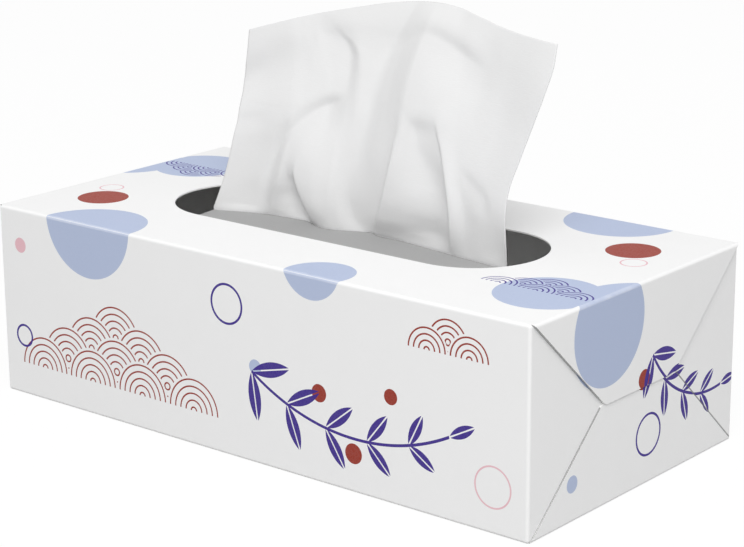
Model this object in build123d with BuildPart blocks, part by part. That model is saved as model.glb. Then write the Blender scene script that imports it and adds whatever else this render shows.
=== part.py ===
"""Tissue box: a folded and glued paperboard carton with an oblong opening and one tissue half drawn out.

The frame has its origin on the resting face, under the middle of the carton.
X runs along the long printed front, Y runs from the front panel to the back panel and Z is up.
"""

import os
from math import radians, tan

from build123d import *

# Carton
carton_length = 230.0
carton_width = 116.0
carton_height = 68.0
board = 0.5
inner_fold_radius = 0.5

# Opening left where the perforated panel was torn out
opening_length = 150.0
opening_width = 50.0

# End flaps: the top flap is glued over the bottom flap, and both over two dust flaps
top_flap_depth = 34.6
top_flap_edge = 39.0
bottom_flap_depth = 44.0
bottom_flap_edge = 18.4
flap_root_relief = 0.8
flap_corner_radius = 4.0
dust_flap_length = 46.0

# Glue flap that closes the sleeve, inside the back panel
glue_flap_depth = 15.0
glue_flap_end_inset = 14.0
glue_flap_taper = 8.0

# Folded sheets that are left in the carton
sheet_width = 150.0
stack_depth = 88.0
stack_height = 13.5
stack_edge_radius = 1.5

# A single sheet, and the room between sheets that lie on each other
tissue = 0.3
sheet_clearance = 0.1

# Raised tissue: where it leaves the carton, how far it stands up and how far it leans back
slot_drop = 4.0
slot_gap = 11.5
raised_height = 78.4
middle_rise = 40.0
trim_allowance = 8.0
lean_angle = 11.0
lower_flat_length = 40.0

# How far the side edges of the raised tissue stand in from, or out past, its gathered foot
middle_left_inset = 3.5
middle_right_inset = 3.5
top_left_inset = 4.5
top_right_flare = 8.0

# Depth of the folds at even steps from the left edge to the right, towards the front where negative
foot_folds = [-3.0, 2.6, 3.3, -2.4, 2.6, -1.0, -3.2, -5.0, -3.0]
middle_folds = [1.0, -1.5, -3.0, -2.0, 1.2, -1.0, -0.8, 0.0, 1.5]
top_folds = [0.0, 0.5, 0.0, 0.4, 1.0, -1.5, -1.5, 1.0, 2.0]

# How far the top edge hangs below its crest, at even steps from corner to corner
top_edge_drops = [16.5, 11.8, 7.8, 4.4, 1.6, 0.1, 2.2, 6.2, 7.9]

# Next tissue: a ramp down from the foot of the raised one, a slack bulge and the crease at the front
ramp_angle = 10.5
ramp_front_gap = 12.0
lip_drop = 0.6
lip_clearance = 0.6
bulge_front_gap = 7.0
bulge_rise = 26.0
ramp_bend_radius = 9.0
bulge_bend_radius = 12.0
crease_radius = 2.0

# Sizes that follow from the ones above
fold_radius = inner_fold_radius + board
inside_width = carton_width - 2 * board
inside_height = carton_height - 2 * board
dust_face = carton_length / 2 - 2 * board
inside_length = 2 * (dust_face - board)
stack_top = board + stack_height
slot_level = carton_height - slot_drop
gathered_half = opening_length / 2 - slot_gap


def flap_bend(fold_height, flap_face, depth, up):
    """Section, in X and Z, of a flap bent from the end of a panel."""
    panel_end = dust_face - 2 * fold_radius
    flap_back = flap_face - board
    free_edge = fold_height + up * depth
    panel_back = fold_height + up * board
    with BuildSketch(Plane.XZ) as section:
        with BuildLine():
            Polyline(
                (panel_end, fold_height),
                (flap_face, fold_height),
                (flap_face, free_edge),
                (flap_back, free_edge),
                (flap_back, panel_back),
                (panel_end, panel_back),
                close=True,
            )
        make_face()
        fold = section.vertices().sort_by_distance((flap_face, fold_height))[0]
        fillet(fold, fold_radius)
        crotch = section.vertices().sort_by_distance((flap_back, panel_back))[0]
        fillet(crotch, inner_fold_radius)
    return section.sketch


def flap_outline(fold_height, depth, edge_width, up):
    """Outline, in Y and Z, of a flap that narrows from its fold to a free edge with round corners."""
    root_half = carton_width / 2 - flap_root_relief
    edge_half = edge_width / 2
    free_edge = fold_height + up * depth
    with BuildSketch(Plane.YZ) as outline:
        with BuildLine():
            Polyline(
                (-root_half, fold_height),
                (root_half, fold_height),
                (edge_half, free_edge),
                (-edge_half, free_edge),
                close=True,
            )
        make_face()
        corners = outline.vertices().sort_by_distance((0, free_edge))[:2]
        fillet(corners, flap_corner_radius)
    return outline.sketch


def sheet_points(left, right, folds, lean):
    """Points along a gathered sheet, at even steps from its left edge to its right."""
    step = (right - left) / (len(folds) - 1)
    return [(left + i * step, lean + fold) for i, fold in enumerate(folds)]


def sheet_section(level, points):
    """Level section of a gathered sheet, as thick as the tissue."""
    with BuildSketch(Plane.XY.offset(level)) as section:
        with BuildLine():
            front = Spline(*points)
            back = Spline(*[(x, y + tissue) for x, y in points])
            Line(front @ 0, back @ 0)
            Line(front @ 1, back @ 1)
        make_face()
    return section.sketch


with BuildPart() as top_flap:
    extrude(flap_bend(carton_height, carton_length / 2, top_flap_depth, -1), carton_width / 2, both=True)
    extrude(
        flap_outline(carton_height, top_flap_depth, top_flap_edge, -1),
        carton_length,
        mode=Mode.INTERSECT,
    )

with BuildPart() as bottom_flap:
    extrude(flap_bend(0, dust_face + board, bottom_flap_depth, 1), carton_width / 2, both=True)
    extrude(
        flap_outline(0, bottom_flap_depth, bottom_flap_edge, 1),
        carton_length,
        mode=Mode.INTERSECT,
    )

with BuildPart() as sleeve_inside:
    with Locations((0, 0, carton_height / 2)):
        Box(inside_length, inside_width, inside_height)
    fillet(sleeve_inside.edges(), inner_fold_radius)

# The carton is one folded blank: sleeve, dust flaps and glue flap, then the flaps of both ends
with BuildPart() as carton:
    with Locations((0, 0, carton_height / 2)):
        Box(2 * dust_face, carton_width, carton_height)
    fillet(carton.edges(), fold_radius)
    add(sleeve_inside.part, mode=Mode.SUBTRACT)
    with Locations((0, 0, carton_height / 2)):
        Box(2 * dust_face, carton_width - 2 * dust_flap_length, inside_height, mode=Mode.SUBTRACT)
    with BuildSketch(Plane.XZ.offset(board - carton_width / 2)):
        with BuildLine():
            glue_half = carton_length / 2 - glue_flap_end_inset
            Polyline(
                (-glue_half, board),
                (glue_half, board),
                (glue_half - glue_flap_taper, board + glue_flap_depth),
                (glue_flap_taper - glue_half, board + glue_flap_depth),
                close=True,
            )
        make_face()
    extrude(amount=board)
    for flap in (top_flap.part, bottom_flap.part):
        add(flap)
        mirror(flap, about=Plane.YZ)
    with BuildSketch(Plane.XY.offset(carton_height)):
        SlotOverall(opening_length, opening_width)
    extrude(amount=-2 * board, mode=Mode.SUBTRACT)

# The stack lies on the floor of the carton, with its folds along the front and the back
with BuildPart() as tissue_stack:
    with Locations((0, 0, board + stack_height / 2)):
        Box(sheet_width, stack_depth, stack_height)
    fillet(tissue_stack.edges().filter_by(Axis.X), stack_edge_radius)

# The next tissue lies on the stack, turns up at its front crease and leans on the foot of the raised one
foot_points = sheet_points(-gathered_half, gathered_half, foot_folds, 0)
next_bed = stack_top + sheet_clearance
ramp_front = ramp_front_gap - inside_width / 2
ramp_back = opening_width / 2
lip_level = slot_level - lip_drop
ramp_rate = tan(radians(ramp_angle))
bulge_level = stack_top + bulge_rise
with BuildPart() as next_tissue:
    with BuildSketch(Plane.YZ):
        with BuildLine():
            FilletPolyline(
                (ramp_back, lip_level + ramp_back * ramp_rate),
                (ramp_front, lip_level + ramp_front * ramp_rate),
                (bulge_front_gap - inside_width / 2, bulge_level),
                (-stack_depth / 2, next_bed + tissue / 2),
                (stack_depth / 2, next_bed + tissue / 2),
                radius=[ramp_bend_radius, bulge_bend_radius, crease_radius],
            )
        trace(line_width=tissue)
    extrude(amount=sheet_width / 2, both=True)
    with BuildSketch(Plane.XY.offset(bulge_level)):
        with BuildLine():
            lip = Spline(*[(x, y - lip_clearance) for x, y in foot_points])
            Polyline(
                lip @ 1,
                (sheet_width / 2, ramp_front),
                (sheet_width, ramp_front),
                (sheet_width, carton_width),
                (-sheet_width, carton_width),
                (-sheet_width, ramp_front),
                (-sheet_width / 2, ramp_front),
                lip @ 0,
            )
        make_face()
    extrude(amount=carton_height, mode=Mode.SUBTRACT)

# The raised tissue stands in the opening, and its lower half goes down to the stack and lies on it
raised_bed = next_bed + tissue + sheet_clearance
top_level = slot_level + raised_height + trim_allowance
with BuildPart() as raised_tissue:
    foot = sheet_section(slot_level, foot_points)
    middle = sheet_section(
        slot_level + middle_rise,
        sheet_points(
            middle_left_inset - gathered_half,
            gathered_half - middle_right_inset,
            middle_folds,
            middle_rise * tan(radians(lean_angle)),
        ),
    )
    top_left = top_left_inset - gathered_half
    top_right = gathered_half + top_right_flare
    top = sheet_section(
        top_level,
        sheet_points(top_left, top_right, top_folds, (top_level - slot_level) * tan(radians(lean_angle))),
    )
    loft([foot, middle, top])
    with BuildSketch(Plane.XZ):
        with BuildLine():
            crest = slot_level + raised_height
            edge = Spline(*sheet_points(top_left, top_right, [-drop for drop in top_edge_drops], crest))
            Polyline(
                edge @ 1,
                (sheet_width, (edge @ 1).Y),
                (sheet_width, top_level + trim_allowance),
                (-sheet_width, top_level + trim_allowance),
                (-sheet_width, (edge @ 0).Y),
                edge @ 0,
            )
        make_face()
    extrude(amount=carton_width, both=True, mode=Mode.SUBTRACT)
    extrude(foot, amount=raised_bed - slot_level)
    with BuildSketch(Plane.XY.offset(raised_bed)):
        with BuildLine():
            heel = Spline(*[(x, y + tissue) for x, y in foot_points])
            Polyline(
                heel @ 1,
                (sheet_width / 2, -lower_flat_length),
                (-sheet_width / 2, -lower_flat_length),
                heel @ 0,
            )
        make_face()
    extrude(amount=tissue)

os.makedirs("parts", exist_ok=True)
carton.part.label = "carton"
export_step(carton.part, "parts/carton.step")
tissue_stack.part.label = "tissue_stack"
export_step(tissue_stack.part, "parts/tissue_stack.step")
next_tissue.part.label = "next_tissue"
export_step(next_tissue.part, "parts/next_tissue.step")
raised_tissue.part.label = "raised_tissue"
export_step(raised_tissue.part, "parts/raised_tissue.step")
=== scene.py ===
"""Tissue box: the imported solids, dressed with printed board and soft tissue paper."""

import math

import bpy
import numpy as np
from mathutils import Euler, Matrix


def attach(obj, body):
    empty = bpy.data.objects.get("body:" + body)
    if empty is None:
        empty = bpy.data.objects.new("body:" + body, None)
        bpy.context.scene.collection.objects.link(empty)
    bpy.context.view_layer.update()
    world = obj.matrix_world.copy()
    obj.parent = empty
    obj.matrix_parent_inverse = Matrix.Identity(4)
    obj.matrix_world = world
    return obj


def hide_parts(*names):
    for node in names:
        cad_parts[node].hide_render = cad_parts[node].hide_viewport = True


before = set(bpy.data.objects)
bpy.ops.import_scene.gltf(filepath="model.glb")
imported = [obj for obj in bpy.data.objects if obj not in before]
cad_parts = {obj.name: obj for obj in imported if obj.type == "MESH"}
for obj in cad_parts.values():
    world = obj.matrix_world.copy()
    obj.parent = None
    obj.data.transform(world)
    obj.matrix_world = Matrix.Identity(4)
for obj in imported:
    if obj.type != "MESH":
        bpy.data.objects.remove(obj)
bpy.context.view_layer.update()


# Carton: one die-cut blank of folding boxboard, white clay coat outside and bleached pulp inside.
# It is printed flat in four inks, scored, folded into a sleeve round the tissues, and glued along the
# back edge and at both ends, where the top flap covers the bottom flap.
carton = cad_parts["carton"]
CARTON_HALF_LENGTH, CARTON_HALF_WIDTH, CARTON_HEIGHT = (
    round(1000 * max(side), 3) for side in zip(*carton.bound_box)
)
BOARD = 0.5
COAT_DEPTH = 0.25
FACE_DEPTH = 0.6
END_DEPTH = 1.3
FOLD_WEAR_AND_HIGHLIGHT = 1.1
CORNER_WEAR_AND_HIGHLIGHT = 2.1
FOLD_REACH = 1.4
COAT_WHITE = (0.89, 0.89, 0.89, 1)
MOTTLED_WHITE = (0.905, 0.905, 0.905, 1)
# Pale band along the folds: rubbed print and a painted highlight
WORN_AND_HIGHLIGHT_WHITE = (0.95, 0.95, 0.95, 1)
PULP_WHITE = (0.92, 0.92, 0.91, 1)
PULP_FLECK = (0.94, 0.935, 0.925, 1)
PALE_BLUE = (0.46, 0.53, 0.71, 1)
BRICK_RED = (0.315, 0.042, 0.026, 1)
INDIGO = (0.056, 0.031, 0.26, 1)
ROSE = (0.80, 0.50, 0.55, 1)
THINNEST_INK = 0.965
PRINT_LINE = 0.55
BOLD_LINE = 0.8
STEM_LINE = 1.0
MIDRIB = 0.45
LEAF_LEAN = 48
TIP_SHORTER = 0.35
TIP_NARROWER = 0.25
CUT_EDGE = (0.80, 0.80, 0.79, 1)
# Painted shadow in the gaps along the end flaps: its grey, how much it covers, and its widths
SEAM_SHADOW_GREY = (0.16, 0.16, 0.16, 1)
SEAM_SHADOW_COVER = 0.75
SEAM_SHADOW = 0.09
WIDE_SEAM_SHADOW = 0.60
SEAM_SHADOW_CHANGE = 5.0
FLAP_RELIEF = 0.8
FLAP_CORNER_WIDTH = 3.5
FLAP_CORNER_RISE = 3.0
TOP_FLAP_DEPTH = 34.6
TOP_FLAP_EDGE = 39.0
BOTTOM_FLAP_DEPTH = 44.0
BOTTOM_FLAP_EDGE = 18.4
FLAP_ROOT = CARTON_HALF_WIDTH - FLAP_RELIEF
TOP_FLAP_TAPER = (FLAP_ROOT - TOP_FLAP_EDGE / 2) / TOP_FLAP_DEPTH
TOP_FLAP_FOOT = CARTON_HEIGHT - TOP_FLAP_DEPTH
TOP_FLAP_FOOT_HALF = TOP_FLAP_EDGE / 2 - FLAP_CORNER_WIDTH
BOTTOM_FLAP_TAPER = (FLAP_ROOT - BOTTOM_FLAP_EDGE / 2) / BOTTOM_FLAP_DEPTH


class Finish:
    """One material: each call adds a node and hands back its output."""

    def __init__(self, name):
        self.material = bpy.data.materials.new(name)
        self.material.use_nodes = True
        self.tree = self.material.node_tree
        self.surface = self.tree.nodes["Principled BSDF"]

    def feed(self, socket, value):
        if isinstance(value, bpy.types.NodeSocket):
            self.tree.links.new(value, socket)
        else:
            socket.default_value = value

    def node(self, kind, inputs, output=0, **settings):
        made = self.tree.nodes.new(kind)
        for name, value in settings.items():
            setattr(made, name, value)
        for key, value in inputs.items():
            self.feed(made.inputs[key], value)
        return made.outputs[output]

    def math(self, operation, a, b=0.0, c=0.0):
        return self.node("ShaderNodeMath", {0: a, 1: b, 2: c}, operation=operation)

    def place(self):
        """Place on the piece, in millimetres of the shared frame."""
        metres = self.node("ShaderNodeTexCoord", {}, "Object")
        return self.node("ShaderNodeVectorMath", {0: metres, 3: 1000.0}, operation="SCALE")

    def axes(self, vector):
        split = self.node("ShaderNodeSeparateXYZ", {0: vector}).node
        return split.outputs[0], split.outputs[1], split.outputs[2]

    def flat(self, across, along):
        return self.node("ShaderNodeCombineXYZ", {0: across, 1: along})

    def far(self, spot, centre):
        return self.node(
            "ShaderNodeVectorMath", {0: spot, 1: (*centre, 0.0)}, "Value", operation="DISTANCE"
        )

    def blend(self, share, a, b):
        return self.node("ShaderNodeMix", {0: share, 6: a, 7: b}, 2, data_type="RGBA")

    def noise(self, spot, scale, detail, rough=0.5):
        return self.node(
            "ShaderNodeTexNoise", {"Vector": spot, "Scale": scale, "Detail": detail, "Roughness": rough}
        )

    def spread(self, value, low, high, to_low, to_high):
        return self.node("ShaderNodeMapRange", {0: value, 1: low, 2: high, 3: to_low, 4: to_high})

    def bump(self, height, strength, distance):
        normal = self.node(
            "ShaderNodeBump", {"Height": height, "Strength": strength, "Distance": distance}
        )
        self.feed(self.surface.inputs["Normal"], normal)


board = Finish("printed_board")
spot = board.place()
x, y, z = board.axes(spot)
to_side = board.math("ABSOLUTE", y)
to_end = board.math("ABSOLUTE", x)

# Each long panel carries the same print, turned half round, and so does each end
turn_back = board.math("SUBTRACT", 1.0, board.math("MULTIPLY", board.math("GREATER_THAN", y, 0.0), 2.0))
turn_end = board.math("SUBTRACT", 1.0, board.math("MULTIPLY", board.math("LESS_THAN", x, 0.0), 2.0))
from_side = board.math("SUBTRACT", CARTON_HALF_WIDTH, to_side)
from_end = board.math("SUBTRACT", CARTON_HALF_LENGTH, to_end)
from_top = board.math("SUBTRACT", CARTON_HEIGHT, z)
long_panel = board.flat(board.math("MULTIPLY", x, turn_back), board.math("ADD", z, from_side))
end_panel = board.flat(board.math("ADD", z, from_end), board.math("MULTIPLY", y, turn_end))


def any_of(masks):
    found = masks[0]
    for mask in masks[1:]:
        found = board.math("MAXIMUM", found, mask)
    return found


def both(a, b):
    return board.math("MINIMUM", a, b)


def disc(panel, centre, radius):
    return board.math("LESS_THAN", board.far(panel, centre), radius)


def ring(panel, centre, radius, line=PRINT_LINE):
    return board.math("COMPARE", board.far(panel, centre), radius, line / 2)


def waves(panel, middle, rows, radius, arcs):
    """Wave scales of concentric arcs in rows that widen downwards, each row laid over the one above."""
    gap = radius / arcs
    drawn = 0.0
    for row in range(rows):
        for i in range(row + 1):
            across = middle[0] + (2 * i - row) * radius
            reach = board.far(panel, (across, middle[1] - row * radius / 2))
            arc = board.math("COMPARE", board.math("MODULO", reach, gap), gap / 2, PRINT_LINE / 2)
            inside = board.math("LESS_THAN", reach, radius)
            drawn = board.node("ShaderNodeMix", {0: inside, 2: drawn, 3: arc}, 0)
    above = board.axes(panel)[1]
    return both(drawn, board.math("GREATER_THAN", above, middle[1] - (rows - 1) * radius / 2))


def on_arc(centre, radius, angle):
    at = math.radians(angle)
    return centre[0] + radius * math.cos(at), centre[1] + radius * math.sin(at)


def leaf(panel, root, lean, length, width):
    """A pointed leaf between two arcs, with its midrib left unprinted."""
    arc = (length**2 + width**2) / (4 * width)
    middle = on_arc(root, length / 2, lean)
    one = board.far(panel, on_arc(middle, arc - width / 2, lean + 90))
    other = board.far(panel, on_arc(middle, arc - width / 2, lean - 90))
    blade = board.math("LESS_THAN", board.math("MAXIMUM", one, other), arc)
    rib = board.math("COMPARE", one, other, MIDRIB)
    return board.math("SUBTRACT", blade, both(blade, rib))


def branch(panel, centre, radius, start, end, pairs, leaf_length, leaf_width):
    """A stem on an arc, from one angle to another, with pairs of leaves that get shorter to its tip."""
    drawn = []
    for i in range(pairs + 1):
        share = i / pairs
        angle = start + (end - start) * share
        root = on_arc(centre, radius, angle)
        onward = angle + math.copysign(90, end - start)
        length = leaf_length * (1 - TIP_SHORTER * share)
        width = leaf_width * (1 - TIP_NARROWER * share)
        leans = (onward,) if i == pairs else (onward + LEAF_LEAN, onward - LEAF_LEAN)
        drawn += [leaf(panel, root, lean, length, width) for lean in leans]
    half = math.radians(abs(end - start) / 2)
    crown = on_arc(centre, radius, (start + end) / 2)
    reach = disc(panel, crown, 2 * radius * math.sin(half / 2))
    stem = both(ring(panel, centre, radius, STEM_LINE), reach)
    return any_of([*drawn, stem])


# The printed fields of each ink, on the unfolded long panel with its half of the top, and on the ends
blue = any_of(
    [
        disc(long_panel, (-70.0, 69.0), 20.0),
        disc(long_panel, (30.0, 72.0), 12.0),
        disc(long_panel, (99.0, 98.0), 17.0),
        disc(long_panel, (6.0, 33.0), 2.6),
    ]
)
blue_end = any_of([disc(end_panel, (58.0, -18.0), 19.0), disc(end_panel, (13.0, -36.0), 2.8)])
rose = any_of(
    [
        ring(long_panel, (101.0, 15.0), 6.6),
        disc(long_panel, (-104.0, 55.0), 2.7),
        ring(long_panel, (-101.0, 110.0), 4.2),
    ]
)
red_lines = any_of(
    [
        waves(long_panel, (-58.0, 30.0), rows=4, radius=12.0, arcs=5),
        waves(long_panel, (84.0, 57.0), rows=2, radius=8.0, arcs=4),
    ]
)
red = any_of(
    [
        disc(long_panel, (-93.0, 98.0), 9.0),
        disc(long_panel, (33.0, 30.0), 3.0),
        disc(long_panel, (47.0, 13.0), 3.4),
        disc(long_panel, (62.0, 35.0), 2.6),
    ]
)
indigo = any_of(
    [
        branch(long_panel, (48.0, 96.0), 78.0, -124.0, -62.0, pairs=5, leaf_length=17.0, leaf_width=5.2),
        waves(long_panel, (94.0, 105.0), rows=3, radius=7.0, arcs=4),
        ring(long_panel, (-6.0, 52.0), 6.6, BOLD_LINE),
        ring(long_panel, (-104.0, 22.0), 3.8, BOLD_LINE),
    ]
)
indigo_end = any_of(
    [
        branch(end_panel, (66.0, 44.0), 44.0, -122.0, -188.0, pairs=4, leaf_length=14.0, leaf_width=4.6),
        ring(end_panel, (17.0, 6.0), 6.8, BOLD_LINE),
    ]
)
red_end = disc(end_panel, (36.0, 2.0), 3.2)

# Long panels and top take one print, the ends and their flaps the other, and the floor panel none
at_end = board.math("LESS_THAN", from_end, END_DEPTH)
above_floor = board.math("GREATER_THAN", z, FACE_DEPTH)
on_long = both(board.math("SUBTRACT", 1.0, at_end), above_floor)
on_top = board.math("GREATER_THAN", z, CARTON_HEIGHT - FACE_DEPTH)
on_end = both(any_of([at_end, on_top]), above_floor)

# The coat is faintly mottled, and each ink lies a little thinner where the grain of the board stands up
mottle = board.noise(spot, scale=0.09, detail=3.0)
grain = board.noise(spot, scale=2.2, detail=2.0)
ink_share = board.spread(grain, 0.3, 0.7, THINNEST_INK, 1.0)
colour = board.blend(mottle, COAT_WHITE, MOTTLED_WHITE)
for mask, end_mask, ink in (
    (blue, blue_end, PALE_BLUE),
    (rose, None, ROSE),
    (red_lines, None, BRICK_RED),
    (red, red_end, BRICK_RED),
    (indigo, indigo_end, INDIGO),
):
    printed = both(mask, on_long)
    if end_mask is not None:
        printed = any_of([printed, both(end_mask, on_end)])
    colour = board.blend(board.math("MULTIPLY", printed, ink_share), colour, ink)

# Scored folds: the coat cracks a little and the print is rubbed pale along them; the same pale band is
# also a painted highlight along each rounded fold
near_fold = any_of(
    [
        board.math("LESS_THAN", board.math("ADD", from_side, from_top), FOLD_WEAR_AND_HIGHLIGHT),
        board.math("LESS_THAN", board.math("ADD", from_end, from_top), FOLD_WEAR_AND_HIGHLIGHT),
        board.math("LESS_THAN", board.math("ADD", from_side, from_end), CORNER_WEAR_AND_HIGHLIGHT),
    ]
)
rubbed_and_highlight = board.spread(board.noise(spot, scale=0.2, detail=4.0), 0.3, 0.75, 0.08, 0.32)
colour = board.blend(board.math("MULTIPLY", near_fold, rubbed_and_highlight), colour, WORN_AND_HIGHLIGHT_WHITE)

# End flaps: their cut edges show the pale core of the board, and a thin painted shadow runs along each of
# them, where the gap between flap and panel lies; it is painted wider towards one side of each end
facing_end = board.math("ABSOLUTE", board.axes(board.node("ShaderNodeTexCoord", {}, "Normal"))[0])
clear_of_folds = board.math("MINIMUM", board.math("MINIMUM", z, from_top), from_side)
edge_on = board.math("LESS_THAN", facing_end, 0.5)
cut_edge = both(edge_on, board.math("GREATER_THAN", clear_of_folds, FOLD_REACH))
colour = board.blend(both(cut_edge, at_end), colour, CUT_EDGE)
past_top = board.math("ADD", to_side, board.math("MULTIPLY_ADD", from_top, TOP_FLAP_TAPER, -FLAP_ROOT))
past_bottom = board.math("ADD", to_side, board.math("MULTIPLY_ADD", z, BOTTOM_FLAP_TAPER, -FLAP_ROOT))
gap = board.spread(board.axes(end_panel)[1], -SEAM_SHADOW_CHANGE, SEAM_SHADOW_CHANGE, SEAM_SHADOW, WIDE_SEAM_SHADOW)
top_seam_shadow = both(
    board.math("COMPARE", past_top, gap, gap),
    board.math("GREATER_THAN", z, TOP_FLAP_FOOT + FLAP_CORNER_RISE),
)
low_seam_shadow = both(
    board.math("COMPARE", past_bottom, gap, gap),
    board.math("LESS_THAN", z, TOP_FLAP_FOOT - BOARD),
)
foot_seam_shadow = both(
    board.math("COMPARE", z, TOP_FLAP_FOOT - SEAM_SHADOW, SEAM_SHADOW),
    board.math("LESS_THAN", to_side, TOP_FLAP_FOOT_HALF),
)
seam_shadows = both(any_of([top_seam_shadow, low_seam_shadow, foot_seam_shadow]), at_end)
colour = board.blend(board.math("MULTIPLY", seam_shadows, SEAM_SHADOW_COVER), colour, SEAM_SHADOW_GREY)

# Back of the board, seen through the opening: uncoated bleached pulp with faint flecks
flecks = board.noise(spot, scale=1.1, detail=4.0, rough=0.7)
pulp = board.blend(board.spread(flecks, 0.35, 0.68, 0.0, 1.0), PULP_WHITE, PULP_FLECK)
outside = any_of(
    [
        board.math("LESS_THAN", from_side, COAT_DEPTH),
        board.math("LESS_THAN", from_end, 2 * BOARD + COAT_DEPTH),
        board.math("LESS_THAN", from_top, COAT_DEPTH),
        board.math("LESS_THAN", z, COAT_DEPTH),
    ]
)
board.feed(board.surface.inputs["Base Color"], board.blend(outside, pulp, colour))
board.feed(board.surface.inputs["Roughness"], board.spread(grain, 0.2, 0.8, 0.42, 0.56))
board.surface.inputs["Specular IOR Level"].default_value = 0.1
board.bump(board.noise(spot, scale=1.6, detail=3.0), strength=0.06, distance=0.0002)

carton.data.materials.clear()
carton.data.materials.append(board.material)


# Tissue stack: two-ply sheets, folded once and laid into each other by the folding machine.
# It lies loose on the floor of the carton, with its folds along the front and the back.
SHEET_PITCH = 0.42
SHEET_WOBBLE = 1.6
STACK_WHITE = (0.80, 0.80, 0.80, 1)
STACK_SHADE = (0.60, 0.60, 0.60, 1)

stack_paper = Finish("stacked_tissue")
spot = stack_paper.place()
level = stack_paper.axes(spot)[2]
wobble = stack_paper.math("MULTIPLY", stack_paper.noise(spot, scale=0.06, detail=2.0), SHEET_WOBBLE)
layer = stack_paper.math("PINGPONG", stack_paper.math("ADD", level, wobble), SHEET_PITCH / 2)
lit_edge = stack_paper.spread(layer, 0.0, SHEET_PITCH / 2, 0.0, 1.0)
layered = stack_paper.blend(lit_edge, STACK_SHADE, STACK_WHITE)
stack_paper.feed(stack_paper.surface.inputs["Base Color"], layered)
stack_paper.surface.inputs["Roughness"].default_value = 0.9
stack_paper.bump(lit_edge, strength=0.5, distance=0.0003)

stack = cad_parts["tissue_stack"]
stack.data.materials.clear()
stack.data.materials.append(stack_paper.material)


# Next tissue: a two-ply sheet that the raised one has pulled up from the stack.
# Its lower half still lies there; its upper half turns up at the front and lies against the raised foot.
SHEET_WIDTH = 150.0
SHEET_THICKNESS = 0.24
SLOT_LEVEL = 64.0
BED_LEVEL = 14.25
RAMP_ANGLE = 10.5
RAMP_SLOPE = math.tan(math.radians(RAMP_ANGLE))
LIP_DROP = 0.6
LIP_CLEARANCE = 0.6
FOOT_HALF = 63.5
# Level section of the raised tissue's foot, which the lip follows: place across, and depth
FOOT_LINE = (
    (-66, -2.6),
    (-46, 1.8),
    (-42, 2.4),
    (-29, 3.3),
    (-23, 3.2),
    (-20.4, 2.0),
    (-17, 1.2),
    (-13.5, 0.9),
    (-9, 1.5),
    (0, 3.8),
    (3.6, 4.6),
    (5.8, 3.8),
    (18, 3.2),
    (33, 1.8),
    (40.4, 1.0),
    (51, 0.0),
    (59, -0.5),
    (66, -0.2),
)
# The next tissue's paper is white, but it is given a grey colour as painted shade for the dim space it
# lies in under the carton's top
SHADE_PAINTED_GREY = (0.385, 0.385, 0.385, 1)
SHADE_PAINTED_GREY_THIN = (0.38, 0.38, 0.38, 1)
NEXT_COLUMNS = 121
RAMP_ROWS = 40
DROP_ROWS = 46
BED_ROWS = 24
BED_BACK = 44.0
RIPPLE = 0.35
RIPPLE_REACH = 9.0
RIPPLE_START = 0.8
# Side view of the turn at the front, from the foot of the ramp down to the stack: place and height
DROP_PROFILE = (
    (-38.0, 55.9),
    (-43.5, 54.3),
    (-47.6, 50.9),
    (-49.6, 45.5),
    (-49.8, 39.5),
    (-48.6, 31.0),
    (-46.6, 22.0),
    (-45.5, 17.2),
    (-44.8, 15.2),
    (-43.0, BED_LEVEL),
)


def ease(t, width, start, end, start_slope, end_slope):
    """Smooth rise from one point to the next, which leaves and arrives with the given slopes."""
    rise = start * (2 * t**3 - 3 * t**2 + 1) + end * (3 * t**2 - 2 * t**3)
    return rise + width * (start_slope * (t**3 - 2 * t**2 + t) + end_slope * (t**3 - t**2))


def curve(points, at):
    """Smooth curve through points, read at the given places."""
    px, py = np.array(points, float).T
    slope = np.gradient(py, px)
    i = np.clip(np.searchsorted(px, at) - 1, 0, len(px) - 2)
    width = px[i + 1] - px[i]
    t = np.clip((at - px[i]) / width, 0, 1)
    return ease(t, width, py[i], py[i + 1], slope[i], slope[i + 1])


def sheet_row(x, y, z):
    """One row of a sheet's points, where a single y or z holds for the whole row."""
    return np.stack(np.broadcast_arrays(x, y, z), 1)


def paper_sheet(name, points, finish):
    """A grid of points in millimetres, rows by columns, made into a sheet with the paper's thickness."""
    rows, columns = points.shape[:2]
    corner = (np.arange(rows - 1)[:, None] * columns + np.arange(columns - 1)).ravel()
    faces = np.stack([corner, corner + 1, corner + columns + 1, corner + columns], 1)
    mesh = bpy.data.meshes.new(name)
    mesh.from_pydata((points.reshape(-1, 3) / 1000).tolist(), [], faces.tolist())
    mesh.shade_smooth()
    mesh.materials.append(finish.material)
    piece = bpy.data.objects.new(name, mesh)
    bpy.context.scene.collection.objects.link(piece)
    ply = piece.modifiers.new("two_ply", "SOLIDIFY")
    ply.thickness = SHEET_THICKNESS / 1000
    ply.offset = 0.0
    return piece


def soft_paper(name, thin, thick):
    """Two-ply tissue paper: fibres lie denser in some places than others, with a fine crepe across."""
    paper = Finish(name)
    spot = paper.place()
    fibres = paper.noise(spot, scale=0.7, detail=4.0, rough=0.65)
    paper.feed(paper.surface.inputs["Base Color"], paper.blend(fibres, thin, thick))
    paper.surface.inputs["Roughness"].default_value = 0.95
    paper.surface.inputs["Specular IOR Level"].default_value = 0.1
    paper.surface.inputs["Sheen Weight"].default_value = 0.15
    crepe = paper.node("ShaderNodeMapping", {"Vector": spot, "Scale": (0.35, 1.0, 1.6)})
    paper.bump(paper.noise(crepe, scale=1.5, detail=3.0, rough=0.6), strength=0.18, distance=0.0002)
    return paper


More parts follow.
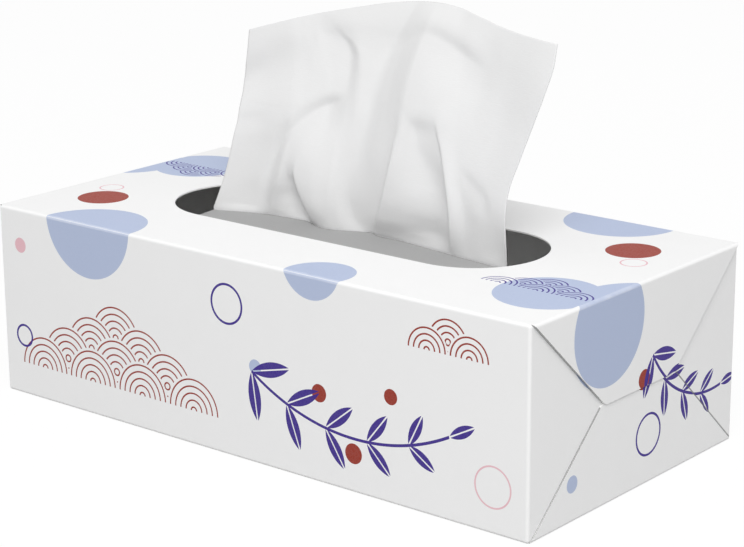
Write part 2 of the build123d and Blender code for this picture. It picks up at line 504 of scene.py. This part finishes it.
across = np.linspace(-1, 1, NEXT_COLUMNS)
lip_y = curve(FOOT_LINE, across * FOOT_HALF) - LIP_CLEARANCE
ramp_end = DROP_PROFILE[0][0]
rows = []
for share in np.linspace(0, 1, RAMP_ROWS, endpoint=False):
    row_y = lip_y + (ramp_end - lip_y) * share
    row_x = across * (FOOT_HALF + (SHEET_WIDTH / 2 - FOOT_HALF) * share)
    ripple = RIPPLE * np.sin(row_x / RIPPLE_REACH + RIPPLE_START) * math.sin(math.pi * share)
    rows.append(sheet_row(row_x, row_y, SLOT_LEVEL - LIP_DROP + row_y * RAMP_SLOPE + ripple))
full_width = across * SHEET_WIDTH / 2
steps = np.linspace(0, len(DROP_PROFILE) - 1, DROP_ROWS)
drop_y = curve([(i, place) for i, (place, height) in enumerate(DROP_PROFILE)], steps)
drop_z = curve([(i, height) for i, (place, height) in enumerate(DROP_PROFILE)], steps)
rows += [sheet_row(full_width, row_y, row_z) for row_y, row_z in zip(drop_y, drop_z)]
bed_y = np.linspace(DROP_PROFILE[-1][0], BED_BACK, BED_ROWS)
rows += [sheet_row(full_width, row_y, BED_LEVEL) for row_y in bed_y[1:]]

# Painted shade: the next sheet takes the grey paper
shade_painted_paper = soft_paper("shade_painted_tissue", SHADE_PAINTED_GREY_THIN, SHADE_PAINTED_GREY)
next_tissue = paper_sheet("next_sheet", np.array(rows), shade_painted_paper)
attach(next_tissue, "root")
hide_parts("next_tissue")


# Raised tissue: the sheet drawn half out of the opening, gathered into soft folds where the slot held it.
# Its lower half goes down inside the carton and lies forward on the next tissue, as it was folded.
TISSUE_WHITE = (0.81, 0.81, 0.81, 1)
TISSUE_WHITE_THIN = (0.79, 0.79, 0.79, 1)
RAISED_COLUMNS = 231
RAISED_ROWS = 150
INNER_ROWS = 22
LOWER_ROWS = 15
RAISED_BED = 14.75
HEEL_RADIUS = 1.2
HEEL_ANGLES = (30, 60, 90)
LOWER_FRONT = -40.0
# Neighbouring fold lines never cross: the least step from one to the next, and the least width to round
LEAST_STEP = 0.02
LEAST_GAP = 0.3
# Side edges at shares of the height, and the top edge at shares of the width
LEFT_EDGE = (
    (0.0, -63.5),
    (0.2, -62.6),
    (0.4, -61.0),
    (0.55, -60.1),
    (0.63, -60.5),
    (0.71, -61.3),
    (0.79, -60.4),
    (0.87, -59.0),
    (1.0, -58.0),
)
RIGHT_EDGE = (
    (0.0, 63.5),
    (0.12, 62.2),
    (0.25, 61.4),
    (0.36, 62.0),
    (0.48, 64.9),
    (0.65, 69.6),
    (0.8, 74.2),
    (0.9, 76.9),
    (1.0, 78.0),
)
TOP_EDGE = (
    (0.0, 126.1),
    (0.07, 128.8),
    (0.2, 133.5),
    (0.33, 137.3),
    (0.46, 140.7),
    (0.52, 141.8),
    (0.58, 142.6),
    (0.64, 142.8),
    (0.70, 142.1),
    (0.765, 140.5),
    (0.825, 138.7),
    (0.885, 137.5),
    (0.945, 136.8),
    (1.0, 136.3),
)
# How the sheet bends back as it rises: height, sway to the right, and set-back
BEND = (
    (64, 0.0, 0.0),
    (70, 1.2, -0.3),
    (76, 2.1, -0.2),
    (90, 2.9, 1.6),
    (104, 2.5, 4.8),
    (120, 1.1, 9.6),
    (132, -0.8, 14.2),
    (144, -3.0, 19.2),
)
# Fold lines from the left edge to the right: height, place across, and depth from the bent sheet,
# which is towards the front where it is negative
FOLD_LINES = (
    # left edge
    (
        (64, -66, -2.6), (76, -66, 0.6), (90, -66, 1.0), (112, -66, 1.4), (130, -66, -0.4),
        (144, -66, -2.2),
    ),
    # valley and ridge of the bent fold on the left
    (
        (64, -46, 1.8), (70, -46.8, 3.0), (76, -46.6, 3.4), (82, -45.9, 3.6), (88, -44.4, 3.3),
        (93, -42.6, 2.6), (98, -41, 2.0), (103, -39, 1.8), (108, -38, 1.9), (113, -38, 2.0),
        (120, -39, 1.8), (127, -40, 0.9), (144, -41, -1.0),
    ),
    (
        (64, -42, 2.4), (70, -41.5, 1.8), (76, -39.7, 0.8), (82, -38.3, 0.4), (88, -36.9, 0.3),
        (93, -35, 0.5), (98, -33, 1.2), (103, -31.5, 2.0), (108, -31, 2.6), (113, -31, 2.8),
        (120, -33, 2.5), (127, -35, 1.6), (144, -37, -0.4),
    ),
    # left pocket, the step up to its lip, and the cheek beside it
    (
        (64, -29, 3.3), (68, -31, 4.2), (72, -32.8, 4.4), (76, -34, 3.2), (80, -34.8, 1.6),
        (84, -34.6, 0.6), (88, -33.6, 0.3), (93, -32.2, 0.5), (98, -29.8, 1.3), (103, -28, 2.1),
        (108, -27.5, 2.7), (113, -28, 3.0), (120, -30.5, 2.7), (127, -32.5, 1.9), (144, -34, 0.0),
    ),
    (
        (64, -23, 3.2), (66, -24.2, 4.0), (71.6, -28, 5.0), (76.3, -30.8, 3.6), (80, -32.4, 1.6),
        (84, -32.6, 0.5), (88, -31.6, 0.3), (93, -30, 0.6), (98, -27.6, 1.4), (103, -25.8, 2.2),
        (108, -25, 2.8), (113, -25.6, 3.1), (120, -28.4, 2.9), (127, -30.6, 2.1), (144, -32, 0.4),
    ),
    (
        (64, -20.4, 2.0), (66, -21.8, 1.2), (71.6, -25.6, 0.4), (76.3, -28.4, 0.2), (80, -30.2, 0.2),
        (84, -30.4, 0.2), (88, -29.4, 0.3), (93, -27.8, 0.7), (98, -25.4, 1.5), (103, -23.6, 2.3),
        (108, -22.6, 2.9), (113, -23, 3.2), (120, -26, 3.1), (127, -28.6, 2.2), (144, -30, 0.9),
    ),
    (
        (64, -17, 1.2), (70, -20.5, -0.1), (76, -22.8, -0.1), (82, -24.2, 0.2), (88, -24.6, 0.6),
        (93, -23.6, 1.2), (98, -21.6, 1.9), (103, -19.8, 2.5), (108, -19, 3.0), (113, -19.6, 3.4),
        (120, -21.4, 3.5), (127, -25, 2.5), (132, -27, 1.8), (144, -28, 1.6),
    ),
    # valley and ridge of the upper middle fold
    (
        (64, -13.5, 0.9), (70, -15.4, 0.7), (76, -16.2, 1.0), (82, -16.2, 1.4), (90, -15.8, 1.9),
        (98, -15.2, 2.4), (106, -14.6, 2.9), (113, -14.4, 3.4), (119, -14.4, 3.8), (123, -15, 3.6),
        (126, -17, 3.0), (129, -21, 2.2), (133, -24, 1.6), (144, -25, 1.8),
    ),
    (
        (64, -9, 1.5), (70, -11.5, 1.5), (76, -12.6, 2.0), (82, -12.6, 2.5), (90, -12.2, 2.8),
        (98, -10.6, 2.8), (106, -8.6, 2.3), (113, -7.8, 1.9), (119, -7.4, 1.6), (123, -8, 1.5),
        (126, -10.4, 1.5), (129, -15, 1.5), (133, -19, 1.3), (144, -20, 1.8),
    ),
    # valley, flank and lip of the main fold
    (
        (64, 0, 3.8), (70, -4.5, 3.8), (76, -6.8, 3.5), (83, -7, 3.4), (90, -5.6, 3.4),
        (97.4, -4.4, 3.3), (103, -3.4, 3.2), (108, -2.6, 3.1), (113, -1.6, 2.7), (120, 0.6, 2.1),
        (125, 2.8, 1.6), (129, 5.4, 1.0), (133, 8.8, 0.2), (138, 12.6, -0.2), (144, 15.6, 0.2),
    ),
    (
        (64, 1.8, 4.3), (70, 0.6, 3.6), (75, 0.4, 3.2), (83, 1, 2.4), (90, 2.2, 1.4),
        (97.4, 3.2, 0.9), (103, 3.8, 0.8), (108, 4, 0.8), (113, 4.6, 0.7), (120, 6.4, 0.1),
        (125, 8.4, -0.5), (129, 10.6, -0.9), (133, 13.2, -1.4), (138, 16.4, -1.5), (144, 19, -0.3),
    ),
    (
        (64, 3.6, 4.6), (66, 4.1, 4.2), (68, 4.7, 3.5), (70, 5.3, 3.0), (75, 6.9, 2.2),
        (83, 8.7, 0.9), (90, 10.5, -0.4), (97.4, 11.6, -1.3), (103, 12.2, -1.9), (108, 11.4, -1.9),
        (113, 11, -1.9), (120, 12.2, -2.4), (125, 13.8, -2.8), (129, 15.4, -3.0), (133, 17.4, -3.1),
        (138, 20, -2.8), (144, 22.4, -0.9),
    ),
    (
        (64, 5.8, 3.8), (66, 6, 3.1), (68, 6.3, 2.2), (70, 6.8, 1.4), (73, 7.6, 0.7),
        (78, 9, -0.2), (83, 10.2, -0.9), (90, 11.7, -1.8), (97.4, 13.6, -2.5), (103, 15.5, -3.1),
        (108, 16.4, -3.5), (113, 16.8, -3.9), (120, 18, -4.4), (125, 19.2, -4.7), (129, 20.4, -4.8),
        (133, 21.8, -4.7), (138, 24, -3.9), (144, 26, -1.5),
    ),
    # right pocket, between the main fold and the sharp one
    (
        (64, 12, 3.5), (66, 12.4, 2.9), (68, 12.8, 2.0), (70, 13.2, 1.1), (73, 13.8, 0.4),
        (77, 14.4, -0.3), (82, 15.2, -0.7), (90, 16.8, -1.1), (98, 18, -1.7), (104, 19, -2.6),
        (108, 20.4, -3.6), (113, 22.6, -4.1), (120, 25.4, -4.6), (127, 28, -4.9), (133, 29, -4.9),
        (138, 30, -4.2), (144, 31, -2.5),
    ),
    # valley, step and lip of the sharp fold on the right
    (
        (64, 31, 2.0), (67, 30.8, 2.4), (69, 30.6, 2.5), (72, 30.4, 1.8), (75, 30.2, 1.0),
        (79, 29.8, 0.7), (82, 29.4, 0.7), (86, 28.2, 0.8), (90, 26.6, 0.6), (98, 22.6, -0.8),
        (103, 21.4, -1.8), (107, 22.6, -3.4), (113, 25.4, -4.2), (120, 28.6, -4.6), (127, 31, -4.8),
        (133, 32.4, -4.8), (138, 33.2, -4.3), (144, 34, -2.8),
    ),
    (
        (64, 38, 1.3), (68, 38.3, 0.9), (72, 38, 0.2), (80, 36.9, -0.7), (86, 35.5, -1.2),
        (92, 33.9, -1.7), (98, 32.1, -2.1), (103, 30.1, -2.6), (107, 28.8, -3.6), (113, 28.4, -4.2),
        (120, 31, -4.5), (127, 33.4, -4.7), (133, 34.6, -4.7), (138, 35.2, -4.3), (144, 35.8, -3.1),
    ),
    (
        (64, 40.2, 1.0), (68, 39.5, -0.3), (72, 39.2, -1.2), (80, 38.1, -2.2), (86, 36.7, -2.7),
        (92, 35, -3.0), (98, 33.2, -3.2), (103, 31.3, -3.4), (107, 30.4, -3.8), (113, 31, -4.1),
        (120, 33.2, -4.4), (127, 35.2, -4.6), (133, 36.4, -4.7), (138, 37, -4.4), (144, 37.4, -3.4),
    ),
    # right cheek, right hollow and right edge
    (
        (64, 45, 0.6), (70, 45.5, 0.5), (76, 44.6, 0.1), (82, 43, -0.6), (90, 41, -1.8),
        (98, 40, -2.4), (113, 38.8, -3.4), (120, 39.4, -3.8), (125, 40, -4.2), (135, 41, -4.9),
        (144, 41.5, -4.6),
    ),
    (
        (64, 51, 0.0), (72, 50.6, 0.0), (80, 48.6, -0.8), (88, 46.8, -1.7), (96, 46, -2.2),
        (113, 47, -2.8), (120, 47.5, -2.9), (126, 48, -3.6), (135, 49, -5.2), (144, 50, -6.0),
    ),
    (
        (64, 59, -0.5), (68, 58.4, -0.2), (72, 57.4, -0.4), (78, 55.4, -1.1), (84, 53, -1.7),
        (89, 51.4, -1.9), (94, 51, -2.1), (113, 54, -3.0), (122, 55, -3.9), (130, 56, -5.2),
        (144, 58, -7.0),
    ),
    (
        (64, 66, -0.2), (72, 66, -1.6), (80, 66, -2.6), (90, 68, -3.2), (112, 73, -5.2),
        (125, 75, -7.2), (135, 78, -8.4), (144, 79, -8.8),
    ),
)
# Short hollows that cross the folds: depth, reach below and above, fade at the ends, and the line
# that each follows from left to right
HOLLOWS = (
    (
        (2.8, 7, 6.2, 28),
        ((-110, 88), (-66, 106.5), (-57.8, 109.8), (-51.3, 112.6), (-44.5, 116), (-28, 122)),
    ),
    (
        (0.35, 3.6, 2.6, 8),
        ((-72, 93), (-63, 94.5), (-57.4, 95.5), (-52, 96.6), (-44, 99)),
    ),
    (
        (2.2, 8.5, 2.6, 10),
        (
            (-50, 72), (-45, 80), (-41.2, 87), (-38.4, 91.5),
            (-35, 95.2), (-31, 98.8), (-25.5, 102.4), (-12, 107),
        ),
    ),
    (
        (0.45, 4.5, 2.4, 7),
        ((-29, 125), (-22, 127.4), (-17, 128.3), (-13.4, 127.5), (-8, 124)),
    ),
    (
        (1.7, 13, 3.7, 15),
        (
            (-4, 106), (0, 115), (3.5, 121), (7, 125), (11, 128), (15, 130),
            (18.5, 131.4), (22, 132.3), (26, 132.2), (31, 130.6), (36, 128.6), (52, 122),
        ),
    ),
    (
        (0.5, 4.0, 2.4, 5),
        ((40, 91.5), (45, 89), (49, 86.5), (56, 81)),
    ),
)


def folded(x, z):
    """Depth of the folds at each point: rounded between neighbouring fold lines, with no overshoot."""
    place = np.array([curve([p[:2] for p in line], z) for line in FOLD_LINES])
    depth = np.array([curve([(p[0], p[2]) for p in line], z) for line in FOLD_LINES])
    place = np.maximum.accumulate(place + LEAST_STEP * np.arange(len(place))[:, None], axis=0)
    gap = np.maximum(np.diff(place, axis=0), LEAST_GAP)
    rise = np.diff(depth, axis=0) / gap
    slope = np.zeros_like(depth)
    steady = rise[:-1] * rise[1:] > 0
    slope[1:-1][steady] = 2 / (1 / rise[:-1][steady] + 1 / rise[1:][steady])
    i = np.clip((place < x).sum(0) - 1, 0, len(place) - 2)
    before = (i, np.arange(len(x)))
    after = (i + 1, np.arange(len(x)))
    t = np.clip((x - place[before]) / gap[before], 0, 1)
    y = ease(t, gap[before], depth[before], depth[after], slope[before], slope[after])
    for (deep, below, above, fade), line in HOLLOWS:
        tilt = curve(line, x + 0.5) - curve(line, x - 0.5)
        off = (z - curve(line, x)) / np.hypot(1, tilt)
        ends = np.clip((x - line[0][0]) / fade, 0, 1) * np.clip((line[-1][0] - x) / fade, 0, 1)
        y += deep * (3 - 2 * ends) * ends**2 * np.exp(-((off / np.where(off > 0, above, below)) ** 2))
    return y


across = np.linspace(0, 1, RAISED_COLUMNS)
top = curve(TOP_EDGE, across)
heights = np.linspace(1, 0, RAISED_ROWS)
rows = []
for height, left, right in zip(heights, curve(LEFT_EDGE, heights), curve(RIGHT_EDGE, heights)):
    row_x = left + (right - left) * across
    row_z = SLOT_LEVEL + (top - SLOT_LEVEL) * height
    row_y = curve([(level, back) for level, sway, back in BEND], row_z) + folded(row_x, row_z)
    row_sway = curve([(level, sway) for level, sway, back in BEND], row_z)
    rows.append(sheet_row(row_x + row_sway, row_y, row_z))
foot_x, foot_y = rows[-1].T[:2]
inner_z = np.linspace(SLOT_LEVEL, RAISED_BED + HEEL_RADIUS, INNER_ROWS)
rows += [sheet_row(foot_x, foot_y, row_z) for row_z in inner_z[1:]]
for bend in np.radians(HEEL_ANGLES):
    heel_y = foot_y - HEEL_RADIUS * (1 - math.cos(bend))
    rows.append(sheet_row(foot_x, heel_y, RAISED_BED + HEEL_RADIUS * (1 - math.sin(bend))))
for share in np.linspace(0, 1, LOWER_ROWS)[1:]:
    row_x = foot_x * (1 + (SHEET_WIDTH / 2 / FOOT_HALF - 1) * share)
    rows.append(sheet_row(row_x, heel_y + (LOWER_FRONT - heel_y) * share, RAISED_BED))

white_paper = soft_paper("raised_tissue", TISSUE_WHITE_THIN, TISSUE_WHITE)
raised_tissue = paper_sheet("raised_sheet", np.array(rows), white_paper)
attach(raised_tissue, "root")
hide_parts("raised_tissue")


# Studio: a plain white table and backdrop, one large soft lamp above the camera's right, and a soft sky.
# Table and sky are white where the camera sees them, and throw only a plain level of light on the box.
FLOOR_HALF = 6.0
TABLE_WHITE = (0.42, 0.42, 0.42, 1)
PURE_WHITE = (1, 1, 1, 1)
GLOW_SHARE = 0.9
SKY_LEVEL = 0.64
LAMP_POWER = 23.0
LAMP_SIZE = 1.2
LAMP_PLACE = (0.90, -1.11, 1.42)


def seen_ray(tree):
    """1 where a surface is seen straight, mirrored or through glass, and 0 where it only throws light."""
    ray = tree.nodes.new("ShaderNodeLightPath")
    seen = ray.outputs["Is Camera Ray"]
    for kind in ("Is Glossy Ray", "Is Transmission Ray"):
        either = tree.nodes.new("ShaderNodeMath")
        either.operation = "MAXIMUM"
        tree.links.new(seen, either.inputs[0])
        tree.links.new(ray.outputs[kind], either.inputs[1])
        seen = either.outputs[0]
    return seen


floor_mesh = bpy.data.meshes.new("table_top")
corners = [(-1, -1), (1, -1), (1, 1), (-1, 1)]
floor_mesh.from_pydata([(FLOOR_HALF * a, FLOOR_HALF * b, 0) for a, b in corners], [], [(0, 1, 2, 3)])
table = Finish("table_white")
table.surface.inputs["Roughness"].default_value = 0.9
seen = seen_ray(table.tree)
table.feed(table.surface.inputs["Base Color"], table.blend(seen, TABLE_WHITE, PURE_WHITE))
glow = table.node("ShaderNodeEmission", {"Color": PURE_WHITE, "Strength": 1.0})
glowing = table.math("MULTIPLY", seen, GLOW_SHARE)
backdrop = table.node("ShaderNodeMixShader", {0: glowing, 1: table.surface.outputs[0], 2: glow})
table.feed(table.tree.nodes["Material Output"].inputs["Surface"], backdrop)
floor_mesh.materials.append(table.material)
floor = bpy.data.objects.new("table_top", floor_mesh)
bpy.context.scene.collection.objects.link(floor)

world = bpy.data.worlds.new("studio")
bpy.context.scene.world = world
world.use_nodes = True
sky = world.node_tree
background = sky.nodes["Background"]
background.inputs["Color"].default_value = PURE_WHITE
sky_light = sky.nodes.new("ShaderNodeMapRange")
sky_light.inputs["To Min"].default_value = SKY_LEVEL
sky_light.inputs["To Max"].default_value = 1.0
sky.links.new(seen_ray(sky), sky_light.inputs["Value"])
sky.links.new(sky_light.outputs[0], background.inputs["Strength"])

lamp_data = bpy.data.lights.new("soft_lamp", "AREA")
lamp_data.shape = "DISK"
lamp_data.size = LAMP_SIZE
lamp_data.energy = LAMP_POWER
lamp = bpy.data.objects.new("soft_lamp", lamp_data)
lamp.location = LAMP_PLACE
lamp.rotation_euler = (-lamp.location).to_track_quat("-Z", "Y").to_euler()
bpy.context.scene.collection.objects.link(lamp)


# Camera: a long lens on a stand, looking down a little at the carton's front and right end.
# Its place and turn were worked out from the corners of the carton in the photograph.
SENSOR_WIDTH = 36.0
LENS = 107.97
CAMERA_PLACE = (0.4685, -0.5588, 0.2607)
LOOK_DOWN = 16.112
LOOK_LEFT = 39.547
ROLL = -0.39

camera_data = bpy.data.cameras.new("camera")
camera_data.sensor_width = SENSOR_WIDTH
camera_data.lens = LENS
camera = bpy.data.objects.new("camera", camera_data)
look = Euler((math.radians(90 - LOOK_DOWN), 0, math.radians(LOOK_LEFT))).to_matrix()
roll = Matrix.Rotation(math.radians(ROLL), 3, "Z")
camera.matrix_world = Matrix.LocRotScale(CAMERA_PLACE, look @ roll, None)
bpy.context.scene.collection.objects.link(camera)
bpy.context.scene.camera = camera
bpy.context.scene.view_settings.view_transform = "Standard"
